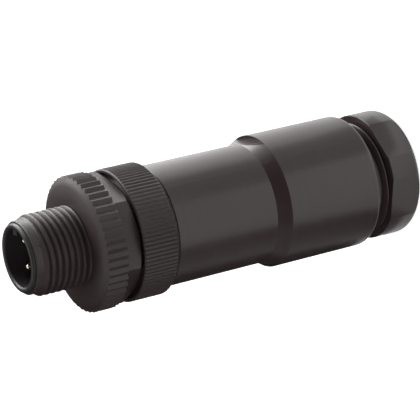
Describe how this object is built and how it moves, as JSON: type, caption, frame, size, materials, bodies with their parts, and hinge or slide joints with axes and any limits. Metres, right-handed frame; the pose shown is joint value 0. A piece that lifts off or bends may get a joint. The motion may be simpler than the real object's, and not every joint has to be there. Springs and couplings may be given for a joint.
{
  "type": "m12 connector",
  "caption": "Straight round plug with a threaded coupling ring, pin contacts in a keyed shroud, a two-part plastic body and a cable gland.",
  "frame": {"origin": "centre of the flat rear face of the clamping screw, on which the plug stands", "axes": "+Z along the common axis towards the contacts; pin 1 lies on +X and pin 2 on +Y"},
  "size_m": [0.0204, 0.0202, 0.0642],
  "materials": {
    "black_plastic": "fine spark-eroded texture",
    "grey_plastic": "smooth moulded insulator",
    "seal_rubber": "smooth moulded rubber",
    "gold_plate": "gold plated, drawn",
    "terminal_brass": "drawn and milled",
    "zinc_steel": "zinc plated"
  },
  "bodies": {
    "insert": {"contact_carrier": "grey_plastic", "pin_1": "gold_plate", "pin_2": "gold_plate", "pin_3": "gold_plate", "pin_4": "gold_plate", "carrier_seal_ring": "seal_rubber", "thrust_washer": "zinc_steel", "union_ring": "black_plastic", "housing_gasket": "seal_rubber", "terminal_block": "grey_plastic", "terminal_1": "terminal_brass", "terminal_2": "terminal_brass", "terminal_3": "terminal_brass", "terminal_4": "terminal_brass"},
    "coupling": {"coupling_ring": "black_plastic"},
    "seal": {"cable_seal": "seal_rubber"},
    "shell": {"housing": "black_plastic"},
    "cage": {"clamp_cage": "grey_plastic", "gland_washer": "zinc_steel"},
    "gland": {"clamping_screw": "black_plastic"},
    "plate_1": {"pressure_plate_1": "zinc_steel"},
    "screw_1": {"terminal_screw_1": "zinc_steel"},
    "plate_2": {"pressure_plate_2": "zinc_steel"},
    "screw_2": {"terminal_screw_2": "zinc_steel"},
    "plate_3": {"pressure_plate_3": "zinc_steel"},
    "screw_3": {"terminal_screw_3": "zinc_steel"},
    "plate_4": {"pressure_plate_4": "zinc_steel"},
    "screw_4": {"terminal_screw_4": "zinc_steel"}
  },
  "joints": [
    {"name": "coupling_turn", "type": "hinge", "parent": "insert", "child": "coupling", "pos_m": [0, 0, 0.0562], "axis": [0, 0, 1], "continuous": true},
    {"name": "housing_travel", "type": "slide", "parent": "insert", "child": "seal", "axis": [0, 0, -1], "range_m": [0, 0.004]},
    {"name": "housing_turn", "type": "hinge", "parent": "seal", "child": "shell", "pos_m": [0, 0, 0.0402], "axis": [0, 0, -1], "range_deg": [0, 1440]},
    {"name": "gland_travel", "type": "slide", "parent": "shell", "child": "cage", "axis": [0, 0, -1], "range_m": [0, 0.0045]},
    {"name": "gland_turn", "type": "hinge", "parent": "cage", "child": "gland", "pos_m": [0, 0, 0.0082], "axis": [0, 0, -1], "range_deg": [0, 1080]},
    {"name": "plate_travel_1", "type": "slide", "parent": "insert", "child": "plate_1", "axis": [-1, 0, 0], "range_m": [0, 0.0012]},
    {"name": "screw_turn_1", "type": "hinge", "parent": "plate_1", "child": "screw_1", "pos_m": [0.0055, 0, 0.03598], "axis": [-1, 0, 0], "range_deg": [0, 1080]},
    {"name": "plate_travel_2", "type": "slide", "parent": "insert", "child": "plate_2", "axis": [0, -1, 0], "range_m": [0, 0.0012]},
    {"name": "screw_turn_2", "type": "hinge", "parent": "plate_2", "child": "screw_2", "pos_m": [0, 0.0055, 0.03598], "axis": [0, -1, 0], "range_deg": [0, 1080]},
    {"name": "plate_travel_3", "type": "slide", "parent": "insert", "child": "plate_3", "axis": [1, 0, 0], "range_m": [0, 0.0012]},
    {"name": "screw_turn_3", "type": "hinge", "parent": "plate_3", "child": "screw_3", "pos_m": [-0.0055, 0, 0.03598], "axis": [1, 0, 0], "range_deg": [0, 1080]},
    {"name": "plate_travel_4", "type": "slide", "parent": "insert", "child": "plate_4", "axis": [0, 1, 0], "range_m": [0, 0.0012]},
    {"name": "screw_turn_4", "type": "hinge", "parent": "plate_4", "child": "screw_4", "pos_m": [0, -0.0055, 0.03598], "axis": [0, 1, 0], "range_deg": [0, 1080]}
  ],
  "couplings": [
    {"joint": "housing_travel", "follows": "housing_turn", "m_per_rad": 0.00015915},
    {"joint": "gland_travel", "follows": "gland_turn", "m_per_rad": 0.00023873},
    {"joint": "screw_turn_1", "follows": "plate_travel_1", "rad_per_m": 15708},
    {"joint": "screw_turn_2", "follows": "plate_travel_2", "rad_per_m": 15708},
    {"joint": "screw_turn_3", "follows": "plate_travel_3", "rad_per_m": 15708},
    {"joint": "screw_turn_4", "follows": "plate_travel_4", "rad_per_m": 15708}
  ]
}
